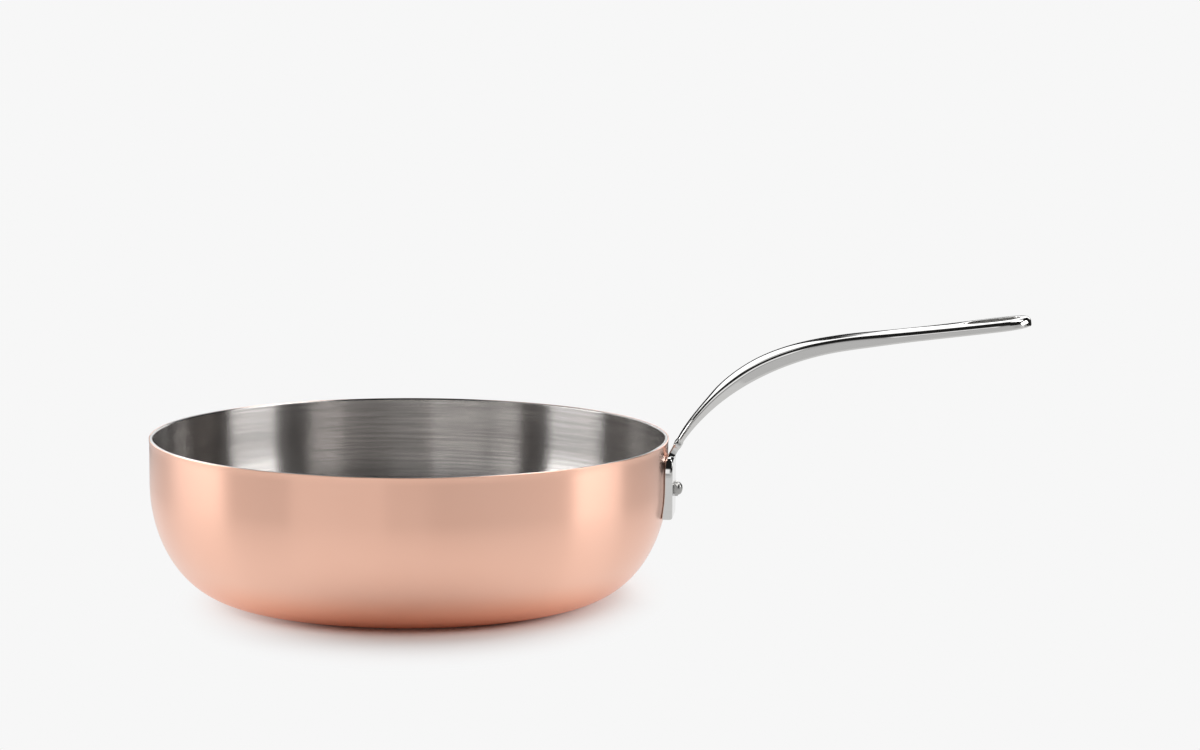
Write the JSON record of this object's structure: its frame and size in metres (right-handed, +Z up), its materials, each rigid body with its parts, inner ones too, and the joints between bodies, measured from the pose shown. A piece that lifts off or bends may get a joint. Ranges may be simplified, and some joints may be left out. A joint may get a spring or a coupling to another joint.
{
  "type": "saute pan",
  "caption": "Round straight-walled saute pan of copper-clad sheet with a brushed steel inside and a long curved cast handle that ends in a hanging hole.",
  "frame": {"origin": "centre of the flat base, on the surface that the pan stands on", "axes": "+Z up along the body's axis, +X out along the handle"},
  "size_m": [0.4441, 0.2638, 0.1472],
  "materials": {
    "copper": "satin polished copper",
    "core": "cut edge",
    "lining": "brushed round the pan",
    "polished_steel": "mirror polished stainless steel",
    "stud_steel": "plain"
  },
  "bodies": {
    "root": {"copper_shell": "copper", "aluminium_core": "core", "steel_lining": "lining", "cast_handle": "polished_steel", "handle_stud": "stud_steel", "dome_nut": "polished_steel"}
  },
  "joints": []
}
